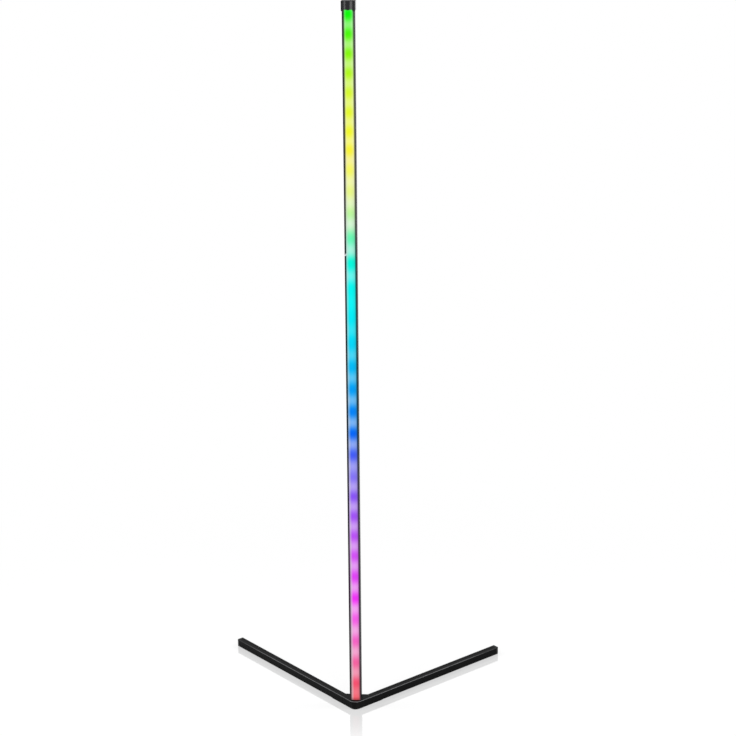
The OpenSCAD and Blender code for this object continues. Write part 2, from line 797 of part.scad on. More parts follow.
// The inlet's barrel with a flange inside the web's rear wall, and two solder lugs
module dc_inlet() {
    color([0.1, 0.1, 0.1]) difference() {
        translate([0, inlet_end_y, inlet_z]) rotate([-90, 0, 0]) {
            cylinder(r = inlet_r, h = web_y + inlet_out - inlet_end_y);
            translate([0, 0, inlet_in]) cylinder(r = inlet_flange_r, h = inlet_flange_t);
        }
        translate([0, inlet_base_y, inlet_z]) rotate([-90, 0, 0])
            cylinder(r = inlet_bore_r, h = inlet_bore_l + 1);
        translate([0, inlet_base_y - inlet_pin_in, inlet_z]) rotate([-90, 0, 0])
            cylinder(r = inlet_pin_r, h = inlet_pin_in + 1);
    }
    color("gold") for (s = [-1, 1])
        translate([s * wire_hole_r / 2 - lug_w / 2, inlet_end_y - 2, inlet_z - lug_t / 2])
            cube([lug_w, 3, lug_t]);
}

module dc_pin() {
    color("gold") translate([0, inlet_base_y - inlet_pin_in, inlet_z]) rotate([-90, 0, 0])
        cylinder(r = inlet_pin_r, h = inlet_bore_l);
}

// The ring nut that holds the inlet from behind, with grip slots round it
module dc_nut() {
    color([0.7, 0.7, 0.72]) translate([0, web_y, inlet_z]) rotate([-90, 0, 0]) difference() {
        cylinder(r = nut_r, h = nut_t);
        translate([0, 0, -1]) cylinder(r = inlet_r, h = nut_t + 2);
        for (a = [0:60:300]) rotate([0, 0, a]) translate([nut_r, 0, -1]) cylinder(r = 0.6, h = nut_t + 2);
    }
}

module controller_board() {
    color([0.05, 0.3, 0.15]) translate([-board_w / 2, chamber_y, board_z]) cube([board_w, board_t, board_l]);
}

// The parts on the board's rear: a radio chip, a storage capacitor and three output transistors
module board_parts() {
    can_r = 2.4;
    color([0.1, 0.1, 0.1]) {
        translate([-3.5, board_face_y, board_z + board_l / 2]) cube([7, 1.4, 9]);
        for (i = [0:2]) translate([-board_w / 2 + 0.6 + i * 4.9, board_face_y, board_z + board_l - 8])
            cube([4, 1.3, 5]);
    }
    color("silver") translate([0, board_face_y + can_r, board_z + board_l / 4 - 2]) {
        cylinder(r = can_r, h = 11);
        translate([-can_r, -can_r, 0]) cube([2 * can_r, can_r, 1]);
    }
}

// The two supply wires, from the inlet's lugs up through the finder to the board, behind the strip's
module supply_wires() {
    lug_y = inlet_end_y - 1;
    wire_y = board_face_y + supply_r;
    x = wire_hole_r / 2;
    for (s = [-1, 1]) color(s < 0 ? "red" : [0.1, 0.1, 0.1]) wire([
        [s * x, lug_y, inlet_z + lug_t / 2],
        [s * x, lug_y, inlet_z + lug_t / 2 + 1],
        [s * x, finder_y, hollow_top],
        [s * x, finder_y, board_z + 3],
        [s * x, wire_y, board_z + 7],
        [s * x, wire_y, board_z + 11]
    ], supply_r);
}

// The strip's four wires, from the board's lower end through the shelf to the strip's lower end
module strip_wires() {
    back_y = board_face_y + strip_wire_r;
    face_y = strip_face_y - strip_wire_r;
    bend = 1;
    for (i = [0:3]) color([0.85, 0.85, 0.85]) translate([(i - 1.5) * strip_wire_gap, 0, 0]) wire([
        [0, back_y, board_z + 2],
        [0, back_y, slot_z + bend],
        [0, back_y - bend, slot_z],
        [0, face_y + bend, slot_z],
        [0, face_y, slot_z + bend],
        [0, face_y, strip_z + 2]
    ], strip_wire_r);
}

// ---- drawing ----

corner_hub();
hub_cover();
cover_screws();
pole_screws();
foot_gasket();
leg_left();
leg_right();
leg_screws();
plug_left();
plug_right();
pad_corner();
pads_arm();
pad_left();
pad_right();
pole_lower();
pole_middle();
pole_upper();
splice_lower();
splice_upper();
splice_screws();
light_sleeve();
led_strip();
led_lights();
led_chips();
top_cap();
cap_screws();
dc_inlet();
dc_pin();
dc_nut();
controller_board();
board_parts();
supply_wires();
strip_wires();
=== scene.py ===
import math
import bpy
from mathutils import Matrix, Vector


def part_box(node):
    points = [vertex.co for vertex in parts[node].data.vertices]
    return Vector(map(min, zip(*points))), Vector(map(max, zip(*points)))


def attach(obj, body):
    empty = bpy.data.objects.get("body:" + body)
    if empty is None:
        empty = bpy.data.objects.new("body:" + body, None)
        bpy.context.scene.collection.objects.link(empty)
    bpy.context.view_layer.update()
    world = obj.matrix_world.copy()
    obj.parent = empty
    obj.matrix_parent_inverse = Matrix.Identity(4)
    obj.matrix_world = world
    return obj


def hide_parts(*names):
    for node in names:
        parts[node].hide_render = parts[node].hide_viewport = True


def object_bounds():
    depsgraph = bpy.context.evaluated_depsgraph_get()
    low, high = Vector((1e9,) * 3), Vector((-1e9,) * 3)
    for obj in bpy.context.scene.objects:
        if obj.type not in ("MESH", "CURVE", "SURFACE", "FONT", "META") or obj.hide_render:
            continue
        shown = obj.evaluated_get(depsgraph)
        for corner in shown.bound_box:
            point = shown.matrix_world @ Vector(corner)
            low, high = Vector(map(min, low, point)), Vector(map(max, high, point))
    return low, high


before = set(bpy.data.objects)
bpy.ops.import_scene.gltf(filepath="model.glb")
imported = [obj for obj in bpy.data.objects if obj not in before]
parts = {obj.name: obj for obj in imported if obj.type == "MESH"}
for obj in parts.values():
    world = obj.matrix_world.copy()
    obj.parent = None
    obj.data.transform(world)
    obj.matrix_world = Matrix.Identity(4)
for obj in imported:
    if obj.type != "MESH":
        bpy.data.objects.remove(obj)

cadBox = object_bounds()
lampTop = cadBox[1].z
print("frame loaded:", len(parts), "parts")


viewpoint = {
    "azimuth": 5.161, "elevation": 17.283, "roll": 0.484,  # degrees
    "distance": 3.68335, "aimSide": 0.02967, "aimHeight": 0.7085,
    "lens": 1939.4 * 36 / 736,  # mm on a 36 mm sensor
}


def placeCamera(v):
    a, e, r = (math.radians(v[k]) for k in ("azimuth", "elevation", "roll"))
    back = Vector((math.sin(a) * math.cos(e), -math.cos(a) * math.cos(e), math.sin(e)))
    side = Vector((math.cos(a), math.sin(a), 0))
    up = back.cross(side)
    aim = side * v["aimSide"] + Vector((0, 0, v["aimHeight"]))
    data = bpy.data.cameras.new("viewCamera")
    data.lens, data.sensor_width = v["lens"], 36
    data.clip_start, data.clip_end = 0.05, 60
    cam = bpy.data.objects.new("viewCamera", data)
    bpy.context.scene.collection.objects.link(cam)
    turnedSide = side * math.cos(r) - up * math.sin(r)
    turnedUp = side * math.sin(r) + up * math.cos(r)
    cam.matrix_world = Matrix((turnedSide, turnedUp, back)).transposed().to_4x4()
    cam.location = aim + back * v["distance"]
    bpy.context.scene.camera = cam


placeCamera(viewpoint)
print("camera placed")


class Flow:  # one output socket, with arithmetic that adds Math nodes
    def __init__(self, bench, socket):
        self.bench, self.socket = bench, socket

    def maths(self, operation, *others):
        values = {i: v for i, v in enumerate(others)}
        return self.bench.node("ShaderNodeMath", {"operation": operation}, values)

    def __add__(self, o): return self.maths("ADD", self, o)
    def __radd__(self, o): return self.maths("ADD", o, self)
    def __sub__(self, o): return self.maths("SUBTRACT", self, o)
    def __rsub__(self, o): return self.maths("SUBTRACT", o, self)
    def __mul__(self, o): return self.maths("MULTIPLY", self, o)
    def __rmul__(self, o): return self.maths("MULTIPLY", o, self)
    def __truediv__(self, o): return self.maths("DIVIDE", self, o)
    def __rtruediv__(self, o): return self.maths("DIVIDE", o, self)
    def __pow__(self, o): return self.maths("POWER", self, o)
    def __neg__(self): return self.maths("MULTIPLY", self, -1)
    def __abs__(self): return self.maths("ABSOLUTE", self)
    def __mod__(self, o): return self.maths("FLOORED_MODULO", self, o)
    def lower(self, o): return self.maths("MINIMUM", self, o)
    def upper(self, o): return self.maths("MAXIMUM", self, o)
    def cosine(self): return self.maths("COSINE", self)

    def ease(self, start, end, low=0.0, high=1.0):  # smooth step between two values
        return self.bench.node("ShaderNodeMapRange", {"interpolation_type": "SMOOTHSTEP"},
                               {"Value": self, "From Min": start, "From Max": end, "To Min": low, "To Max": high})


class Bench:  # a node tree being wired
    def __init__(self, tree):
        self.tree = tree

    def node(self, kind, settings=None, values=None, out=0):
        made = self.tree.nodes.new(kind)
        for key, value in (settings or {}).items():
            if key == "stops":
                ramp = made.color_ramp
                while len(ramp.elements) < len(value):
                    ramp.elements.new(1)
                for stop, (place, colour) in zip(ramp.elements, value):
                    stop.position, stop.color = place, (*colour, 1)
            else:
                setattr(made, key, value)
        for key, value in (values or {}).items():
            self.feed(made.inputs[key], value)
        return Flow(self, made.outputs[out])

    def feed(self, socket, value):
        if isinstance(value, Flow):
            self.tree.links.new(value.socket, socket)
        elif isinstance(value, list) and isinstance(value[0], Flow):  # several flows into one joining socket
            for flow in value:
                self.tree.links.new(flow.socket, socket)
        elif isinstance(value, (tuple, list)) and len(value) == 3 and len(socket.default_value) == 4:
            socket.default_value = (*value, 1)
        else:
            socket.default_value = value


class Finish(Bench):  # a material with one Principled shader
    def __init__(self, name):
        self.material = bpy.data.materials.new(name)
        self.material.use_nodes = True
        Bench.__init__(self, self.material.node_tree)
        self.tree.nodes.clear()
        self.shader = self.tree.nodes.new("ShaderNodeBsdfPrincipled")
        end = self.tree.nodes.new("ShaderNodeOutputMaterial")
        self.tree.links.new(self.shader.outputs[0], end.inputs[0])
        self.place = self.node("ShaderNodeTexCoord", out="Object")

    def axes(self):
        split = self.node("ShaderNodeSeparateXYZ", values={0: self.place})
        return [Flow(self, s) for s in split.socket.node.outputs]

    def noise(self, scale, stretch=(1, 1, 1), detail=3, rough=0.5):
        where = self.place
        if stretch != (1, 1, 1):
            where = self.node("ShaderNodeMapping", values={"Vector": self.place, "Scale": stretch})
        return self.node("ShaderNodeTexNoise", values={"Vector": where, "Scale": scale, "Detail": detail,
                                                       "Roughness": rough})

    def cells(self, scale, settings=None, out="Distance"):
        return self.node("ShaderNodeTexVoronoi", settings, {"Vector": self.place, "Scale": scale}, out)

    def blendColours(self, share, first, second):
        return self.node("ShaderNodeMix", {"data_type": "RGBA"}, {0: share, 6: first, 7: second}, 2)

    def bump(self, height, strength, distance, under=None):
        values = {"Height": height, "Strength": strength, "Distance": distance}
        if under:
            values["Normal"] = under
        return self.node("ShaderNodeBump", values=values)

    def set(self, **sockets):
        names = {"colour": "Base Color", "roughness": "Roughness", "metallic": "Metallic", "normal": "Normal",
                 "level": "Specular IOR Level", "coat": "Coat Weight", "coatRoughness": "Coat Roughness",
                 "glow": "Emission Color", "glowStrength": "Emission Strength"}
        for key, value in sockets.items():
            self.feed(self.shader.inputs[names[key]], value)
        return self.material


def dress(material, *names):
    for name in names:
        mesh = parts[name].data
        mesh.materials.clear()
        mesh.materials.append(material)


base = {  # the black legs and corner, in metres
    "corner": 0.0245, "legWidth": 0.0146, "noseRadius": 0.018, "edgeRadius": 0.0012, "armEnd": 0.076, "webEnd": 0.0594,
    "dark": (0.0022, 0.0022, 0.0024), "pale": (0.0046, 0.0046, 0.0048), "gloss": 0.035,
    "wearAndHighlight": (0.078, 0.078, 0.081), "wearAndHighlightUpper": 1.0, "wearAndHighlightOther": 0.3,  # paler colour painted along the rounded edges as a highlight, strongest on the upper outer edge, with some wear
    "fadeFrom": 0.28, "fadeTo": 0.38, "tipShare": 0.4,  # the painted edge highlight shows less towards the tips
    "seamOuter": 0.00022, "seamInner": 0.00008,  # half the seam's width, at its rim and at its bottom
}


def alongLegs(f):  # place along a leg, depth inside the outer outline, and depth inside the inner face
    x, y, z = f.axes()
    along = (y + base["corner"] + abs(x)) * 0.5 ** 0.5
    across = (y + base["corner"] - abs(x)) * 0.5 ** 0.5
    n = base["noseRadius"]
    outer = n - ((n - along).upper(0) ** 2 + (n - across) ** 2) ** 0.5
    inner = base["legWidth"] - across + (along + across).ease(base["webEnd"], base["webEnd"] - 0.001) * 0.02
    return along, outer, inner, z


def powderCoat(name, grain, roughness, low, high):
    f = Finish(name)
    along, outer, inner, z = alongLegs(f)
    r = base["edgeRadius"]
    roundIn = lambda depth: ((r - depth) / r).upper(0)  # 0 on the flat, 1 at the face, within a rounded edge
    upper, lower = roundIn(high - z), roundIn(z - low)
    outside, inside = roundIn(outer), roundIn(inner)
    wear = f.noise(1, (90, 90, 90), detail=4, rough=0.6).ease(0.2, 0.6)
    # a paler colour painted along the rounded edges stands in for a highlight: strongest on the upper outer edge,
    # weaker on the others, broken up by wear noise and fading towards the tips
    otherEdges = upper.upper(lower) * inside.upper(outside)
    wearAndHighlight = (upper * outside * base["wearAndHighlightUpper"]).upper(otherEdges * base["wearAndHighlightOther"])
    fade = along.ease(base["fadeFrom"], base["fadeTo"], 1.0, base["tipShare"])
    wearAndHighlight = wearAndHighlight.ease(0.03, 0.2) * wearAndHighlight.ease(0, 0.25) * (0.75 + wear * 0.25) * fade
    seam = abs(along - base["armEnd"]).ease(base["seamOuter"], base["seamInner"])
    orangePeel = f.noise(420 * grain, detail=2)
    speck = f.cells(1500 * grain)
    cloud = f.noise(28, detail=4, rough=0.6)
    height = orangePeel * 0.7 + speck * 0.3 - seam * 2
    coat = f.blendColours(cloud, base["dark"], base["pale"])
    return f.set(colour=f.blendColours(wearAndHighlight, coat, base["wearAndHighlight"]),
                 roughness=roughness - 0.05 + cloud * 0.1 + speck * 0.04 + seam * 0.2, level=base["gloss"],
                 coat=wearAndHighlight * 0.5, coatRoughness=0.3, normal=f.bump(height, 0.3, 0.0002))


rails = {
    "mouth": 0.0081, "reach": 0.0030,  # half the channel's mouth, and how far the light spills over a lip
    "spillFrom": -0.0085, "spillTo": -0.0099, "sideHalf": 0.001,  # depth where the spill grows, and its change of side
    "dark": (0.0025, 0.0025, 0.0027), "pale": (0.005, 0.005, 0.0053), "gloss": 0.10,
    "spillLeft": 0.045, "spillRight": 0.19, "spillUpper": 0.16,  # the last is added at the right of the upper third
    "deeper": 1.1, "upperPaler": 0.35,  # the spill's saturation
    "leak": 0.62, "leakTint": (0.94, 0.97, 1.0),  # light that escapes over the left lip at the upper joint
    "leakHalf": 0.0011, "leakDrop": 0.0007, "leakFrom": -0.0080, "leakTo": -0.0092,  # its size, height and depth
}


def drawnRail(name):  # an anodised extrusion with fine lines along it, and the sleeve's light on its lips
    f = Finish(name)
    x, y, z = f.axes()
    lines = f.noise(1, (2600, 2600, 3), detail=2)
    broad = f.noise(1, (420, 420, 5), detail=2)
    cloud = f.noise(16, detail=3)
    tone = lines * 0.5 + broad * 0.5
    hue, deep = rainbow(f, z)[:2]
    upper = z.ease(glow["upperFrom"], glow["upperTo"])
    reach = abs(x).ease(rails["mouth"] + rails["reach"], rails["mouth"]) * y.ease(rails["spillFrom"], rails["spillTo"])
    side = x.ease(-rails["sideHalf"], rails["sideHalf"])
    right = rails["spillRight"] - rails["spillLeft"] + upper * rails["spillUpper"]
    spill = reach * (rails["spillLeft"] + side * right)
    tinge = (deep * rails["deeper"]).lower(1) * (1 - upper * rails["upperPaler"])
    light = f.node("ShaderNodeCombineColor", {"mode": "HSV"}, {0: hue, 1: tinge, 2: spill})
    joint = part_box("pole_upper")[0].z - rails["leakDrop"]
    leak = abs(z - joint).ease(rails["leakHalf"] + 0.0003, rails["leakHalf"] - 0.0002)
    leak = leak * x.ease(-rails["mouth"], -rails["mouth"] - 0.0002) * y.ease(rails["leakFrom"], rails["leakTo"])
    light = f.blendColours(leak, light, tuple(rails["leak"] * c for c in rails["leakTint"]))
    return f.set(colour=f.blendColours(tone, rails["dark"], rails["pale"]),
                 roughness=0.30 + tone * 0.12 + cloud * 0.05, level=rails["gloss"],
                 glow=light, glowStrength=1.0, normal=f.bump(tone, 0.2, 0.00012))


cap = {
    "dark": (0.003, 0.003, 0.0034), "pale": (0.006, 0.006, 0.0066),
    "gloss": 0.27, "roughness": 0.16, "topRoughness": 0.3,  # the last is added on the flat top
}


def mouldedGloss(name):
    f = Finish(name)
    ripple = f.noise(160, detail=2)
    hair = f.noise(1, (90, 2400, 90), detail=1)
    rubs = f.noise(40, detail=4).ease(0.55, 0.75)
    top = f.axes()[2].ease(lampTop - 0.0006, lampTop - 0.0002)  # the flat top has a fine texture
    grain = f.bump(f.cells(1300, {"feature": "SMOOTH_F1"}) * top, 0.2, 0.0002, f.bump(ripple, 0.10, 0.0002))
    return f.set(colour=f.blendColours(rubs, cap["dark"], cap["pale"]), level=cap["gloss"], normal=grain,
                 roughness=cap["roughness"] + hair * 0.05 + rubs * 0.06 + top * cap["topRoughness"])


def mouldedMatte(name, colour, pale, roughness=0.5, threadPitch=0.0):  # a pitch gives it a fine thread along y
    f = Finish(name)
    spark = f.cells(1100, {"feature": "SMOOTH_F1"})
    cloud = f.noise(60)
    normal = f.bump(spark, 0.3, 0.0002)
    if threadPitch:
        y = f.axes()[1]
        normal = f.bump((y * (2 * math.pi / threadPitch)).cosine(), 0.6, threadPitch * 0.3, normal)
    return f.set(colour=f.blendColours(cloud, colour, pale), roughness=roughness + cloud * 0.1, level=0.2,
                 normal=normal)


rubberRings = 0.0016  # metres from ring to ring


def rubber(name, centre):  # rings round the middle of a pad, with dust in them
    f = Finish(name)
    x, y = f.axes()[:2]
    dx, dy = x - centre[0], abs(y) - centre[1] if centre[0] == 0 else y - centre[1]
    r = (dx * dx + dy * dy) ** 0.5
    rings = (r * (2 * math.pi / rubberRings)).cosine() * 0.5 + 0.5
    dust = f.noise(500, detail=4).ease(0.5, 0.72)
    return f.set(colour=f.blendColours(dust * 0.6, (0.008, 0.008, 0.008), (0.03, 0.029, 0.028)),
                 roughness=0.72 + dust * 0.15, level=0.2,
                 normal=f.bump(rings, 0.5, 0.0003, f.bump(f.noise(1600), 0.2, 0.0001)))


legLow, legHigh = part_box("leg_left")
dress(powderCoat("castBlack", 0.8, 0.30, legLow.z, legHigh.z), "corner_hub")
dress(powderCoat("tubeBlack", 1.0, 0.28, legLow.z, legHigh.z), "leg_left", "leg_right")
dress(mouldedMatte("coverBlack", (0.005, 0.005, 0.005), (0.009, 0.009, 0.009), 0.5), "hub_cover")
dress(mouldedGloss("capBlack"), "top_cap")
dress(mouldedMatte("plugBlack", (0.003, 0.003, 0.0032), (0.0055, 0.0055, 0.0058), 0.42), "plug_left", "plug_right")
dress(mouldedMatte("inletBlack", (0.012, 0.012, 0.012), (0.02, 0.02, 0.02), 0.4, 0.00075), "dc_inlet")
for padName in ("pad_corner", "pads_arm", "pad_left", "pad_right", "foot_gasket"):
    low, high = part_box(padName)
    dress(rubber("rubber." + padName, tuple((low + high) / 2)), padName)
print("black finishes made")


glow = {
    # height in metres, hue in degrees, saturation between the lights, saturation over a light
    "stops": [(0.016, 356, 0.64, 0.61), (0.055, 349, 0.67, 0.43), (0.105, 333, 0.59, 0.34), (0.190, 306, 0.61, 0.34),
              (0.235, 299, 0.79, 0.39), (0.328, 287, 0.67, 0.39), (0.452, 259, 0.66, 0.38), (0.500, 245, 0.51, 0.35),
              (0.585, 215, 0.99, 0.49), (0.776, 186, 1.00, 0.77), (0.840, 180, 1.00, 0.94), (0.889, 177, 0.99, 0.60),
              (0.920, 172, 0.98, 0.43), (0.972, 147, 0.52, 0.22), (0.990, 119, 0.33, 0.15), (1.044, 70, 0.43, 0.26),
              (1.111, 57, 0.68, 0.42), (1.138, 59, 0.81, 0.50), (1.232, 70, 0.79, 0.51), (1.305, 90, 0.93, 0.52),
              (1.385, 122, 0.97, 0.55)],
    # height of a bright spot, and its number up the strip
    "spots": [(0.031, 0), (0.307, 6), (0.514, 11), (0.737, 16), (0.992, 21), (1.111, 24), (1.358, 31)],
    "halfWidth": 0.0079, "lean": 0.0006, "tint": 0.12, "strength": 0.82, "value": 0.98,  # lean: to the right, low down
    "upperFrom": 0.95, "upperTo": 1.15, "lowestFrom": 0.45, "lowestTo": 0.25,  # heights of two changes in the glow
    "leftPaler": 0.5, "leftUpper": 0.12, "leftLowest": 0.1, "rightPaler": 0.08, "rightUpper": 0.24,  # saturation lost
    "domeShade": 0.14, "domeUpper": 0.11, "edgeUpper": 0.5, "edgeLowest": 0.2,  # value lost towards the sides
    "footFrom": 0.0155, "footTo": 0.0245, "footValue": 0.72,  # darker just over the gasket
    "flange": (0.80, 0.82, 0.86),  # seen only through the notch
}


def rainbow(f, z):  # hue, and saturation between the lights and over one, at height z
    heights = [(h / lampTop, (hue / 360, deep, pale)) for h, hue, deep, pale in glow["stops"]]
    key = f.node("ShaderNodeValToRGB", {"stops": heights}, {0: z / lampTop})
    keys = f.node("ShaderNodeSeparateColor", values={0: key}).socket.node.outputs
    return [Flow(f, s) for s in keys]


def nearLight(f, z):  # 1 over a light and 0 midway between two, at height z
    spots = glow["spots"]
    slope = (spots[1][1] - spots[0][1]) / (spots[1][0] - spots[0][0])
    count = spots[0][1] + (z - spots[0][0]) * slope
    for (h0, n0), (h1, n1) in zip(spots[1:-1], spots[2:]):  # the pitch changes a little at each of these heights
        change = (n1 - n0) / (h1 - h0) - slope
        count = count + (z - h0).upper(0) * change
        slope += change
    return (count * (2 * math.pi)).cosine() * 0.5 + 0.5


def litSilicone(name):
    f = Finish(name)
    x, _, z = f.axes()
    hue, deep, pale = rainbow(f, z)
    lowest = z.ease(glow["lowestFrom"], glow["lowestTo"])
    across = (x - lowest * glow["lean"]) / glow["halfWidth"]
    leftEdge = across.ease(-0.30, -0.95)
    rightSide = across.ease(0.25, 1.0)
    upper = z.ease(glow["upperFrom"], glow["upperTo"])
    leftPaler = glow["leftPaler"] - upper * glow["leftUpper"] + lowest * glow["leftLowest"]
    saturation = (deep + (pale - deep) * nearLight(f, z)) * (1 - leftEdge * leftPaler)
    saturation = saturation * (1 - rightSide * (glow["rightPaler"] + upper * glow["rightUpper"]))
    value = glow["value"] * (1 - across * across * (glow["domeShade"] - upper * glow["domeUpper"]))
    value = value * z.ease(glow["footFrom"], glow["footTo"], glow["footValue"], 1.0)
    value = value * (1 - (upper * glow["edgeUpper"] + lowest * glow["edgeLowest"]) * across.ease(-0.7, -1.08))
    shown = f.node("ShaderNodeCombineColor", {"mode": "HSV"}, {0: hue, 1: saturation, 2: value})
    linear = f.node("ShaderNodeGamma", values={0: shown, 1: 2.2})
    flange = abs(x).ease(glow["halfWidth"] + 0.00005, glow["halfWidth"] + 0.0002)
    linear = f.blendColours(flange, linear, glow["flange"])
    tinted = f.node("ShaderNodeVectorMath", {"operation": "SCALE"}, {0: linear, "Scale": glow["tint"]})
    haze = f.noise(700, (1, 1, 0.3), detail=2)
    return f.set(colour=tinted, glow=linear, glowStrength=glow["strength"], roughness=0.36 + haze * 0.08,
                 level=0.03, normal=f.bump(haze, 0.08, 0.0001))


dress(litSilicone("litSilicone"), "light_sleeve")
dress(drawnRail("railBlack"), "pole_lower", "pole_middle", "pole_upper")
print("sleeve lit")


def plated(name, colour, pale, roughness, scale=900):
    f = Finish(name)
    spangle = f.cells(scale, out="Color")
    grey = f.node("ShaderNodeSeparateColor", values={0: spangle})
    wear = f.noise(300, detail=4)
    return f.set(colour=f.blendColours(grey * 0.6 + wear * 0.4, colour, pale), metallic=1.0,
                 roughness=roughness + wear * 0.12, normal=f.bump(wear, 0.1, 0.0001))


zinc = plated("zincPlate", (0.52, 0.52, 0.50), (0.68, 0.67, 0.66), 0.28)
brightMetal = plated("nickelPlate", (0.62, 0.61, 0.60), (0.74, 0.73, 0.72), 0.16, 300)
dress(zinc, "cover_screws", "pole_screws", "leg_screws", "splice_screws", "cap_screws")
dress(plated("brassPin", (0.70, 0.52, 0.22), (0.82, 0.64, 0.32), 0.2), "dc_pin")
dress(brightMetal, "dc_nut")
dress(plated("sawnAluminium", (0.66, 0.66, 0.67), (0.80, 0.80, 0.81), 0.34, 1800), "splice_lower", "splice_upper")


ledRow = {"first": 0.0360, "pitch": 0.0427, "window": 0.002}  # the first light's height, and a window's radius


def alongStrip(f):  # distance from the nearest light's middle, across and along
    x, _, z = f.axes()
    along = (z - (ledRow["first"] - ledRow["pitch"] / 2)) % ledRow["pitch"] - ledRow["pitch"] / 2
    return x, along


def stripFilm(name):
    f = Finish(name)
    x, along = alongStrip(f)
    lane = abs(x) * 1000 % 2  # millimetres from a lane's edge, in lanes 2 mm wide
    tracks = lane.ease(0.25, 0.45) * (1 - lane.ease(1.3, 1.5))
    landing = abs(abs(along) - ledRow["pitch"] / 2).ease(0.0028, 0.0022)
    copper = landing * tracks
    weave = f.noise(900, detail=2)
    colour = f.blendColours(copper, (0.86, 0.86, 0.84), (0.72, 0.42, 0.18))
    colour = f.blendColours(weave * 0.12, colour, (0.62, 0.62, 0.60))
    return f.set(colour=colour, roughness=0.42 - copper * 0.15, metallic=copper * 0.9,
                 normal=f.bump(tracks, 0.2, 0.00004))


def ledPackage(name):
    f = Finish(name)
    x, along = alongStrip(f)
    r = (x * x + along * along) ** 0.5
    window = r.ease(ledRow["window"] + 0.0001, ledRow["window"] - 0.0001)
    colour = f.blendColours(window, (0.88, 0.88, 0.86), (0.75, 0.62, 0.20))
    light = f.blendColours(window, (0.05, 0.05, 0.05), (0.9, 0.95, 1.0))
    return f.set(colour=colour, roughness=0.25 + f.noise(800) * 0.1, glow=light, glowStrength=1.0,
                 normal=f.bump(window, 0.3, 0.0001))


def solderMask(name):
    f = Finish(name)
    tracks = f.node("ShaderNodeTexBrick", {"offset": 0.5}, {"Vector": f.place, "Scale": 90, "Mortar Size": 0.06,
                    "Color1": (1, 1, 1), "Color2": (0.8, 0.8, 0.8), "Mortar": (0, 0, 0)})
    grey = f.node("ShaderNodeSeparateColor", values={0: tracks})
    return f.set(colour=f.blendColours(grey, (0.03, 0.24, 0.09), (0.012, 0.13, 0.045)), roughness=0.3 + grey * 0.1,
                 normal=f.bump(grey, 0.25, 0.00005))


def wireSkins(name, gap, colours):  # colours side by side, by place across the lamp
    f = Finish(name)
    shade = (f.axes()[0] / gap + len(colours) / 2) / len(colours)
    stops = [(i / len(colours), c) for i, c in enumerate(colours)]
    ramp = f.node("ShaderNodeValToRGB", {"stops": stops}, {0: shade})
    ramp.socket.node.color_ramp.interpolation = "CONSTANT"
    grain = f.noise(1200)
    return f.set(colour=f.blendColours(grain * 0.2, ramp, (0.02, 0.02, 0.02)), roughness=0.38 + grain * 0.1,
                 normal=f.bump(grain, 0.1, 0.0001))


dress(stripFilm("stripFilm"), "led_strip")
dress(ledPackage("ledPackage"), "led_lights")
dress(mouldedMatte("chipBlack", (0.02, 0.02, 0.02), (0.035, 0.035, 0.035), 0.4), "led_chips")
dress(mouldedMatte("partBlack", (0.03, 0.03, 0.032), (0.06, 0.06, 0.062), 0.4), "board_parts")
dress(solderMask("boardGreen"), "controller_board")
supplyColours = [(0.30, 0.012, 0.012), (0.012, 0.012, 0.012)]
stripColours = [(0.75, 0.75, 0.73), (0.35, 0.02, 0.02), (0.02, 0.25, 0.05), (0.02, 0.05, 0.35)]
dress(wireSkins("supplySkins", 0.0024, supplyColours), "supply_wires")
dress(wireSkins("stripSkins", 0.002, stripColours), "strip_wires")
print("metals, strip and board finished")


class Maker(Bench):  # a geometry node tree that stands one shape on each point of its mesh
    def __init__(self, name, inputs):
        Bench.__init__(self, bpy.data.node_groups.new(name, "GeometryNodeTree"))
        face = self.tree.interface
        face.new_socket("Points", in_out="INPUT", socket_type="NodeSocketGeometry")
        for key, value in inputs.items():
            kind = {float: "Float", int: "Int", bool: "Bool", tuple: "Vector"}[type(value)]
            face.new_socket(key, in_out="INPUT", socket_type="NodeSocket" + kind).default_value = value
        face.new_socket("Finish", in_out="INPUT", socket_type="NodeSocketMaterial")
        face.new_socket("Mesh", in_out="OUTPUT", socket_type="NodeSocketGeometry")
        entry = self.tree.nodes.new("NodeGroupInput")
        self.given = {s.name: Flow(self, s) for s in entry.outputs if s.name}

    def position(self):
        split = self.node("ShaderNodeSeparateXYZ", values={0: self.node("GeometryNodeInputPosition")})
        return [Flow(self, s) for s in split.socket.node.outputs]

    def vector(self, x, y, z):
        return self.node("ShaderNodeCombineXYZ", values={0: x, 1: y, 2: z})

    def stand(self, shape, seed):  # along the axis given, each turned by a chance angle
        turned = self.node("FunctionNodeAlignRotationToVector", {"axis": "Z"}, {"Vector": self.given["Axis"]})
        stood = self.node("GeometryNodeInstanceOnPoints", values={
            "Points": self.given["Points"], "Instance": shape, "Rotation": turned})
        chance = self.node("FunctionNodeRandomValue", {"data_type": "FLOAT"}, {2: 0.0, 3: 2 * math.pi, "Seed": seed}, 1)
        spun = self.node("GeometryNodeRotateInstances", values={
            "Instances": stood, "Rotation": self.vector(0.0, 0.0, chance), "Local Space": True})
        real = self.node("GeometryNodeRealizeInstances", values={0: spun})
        painted = self.node("GeometryNodeSetMaterial", values={"Geometry": real, "Material": self.given["Finish"]})
        end = self.tree.nodes.new("NodeGroupOutput")
        self.tree.links.new(painted.socket, end.inputs[0])
        return self.tree


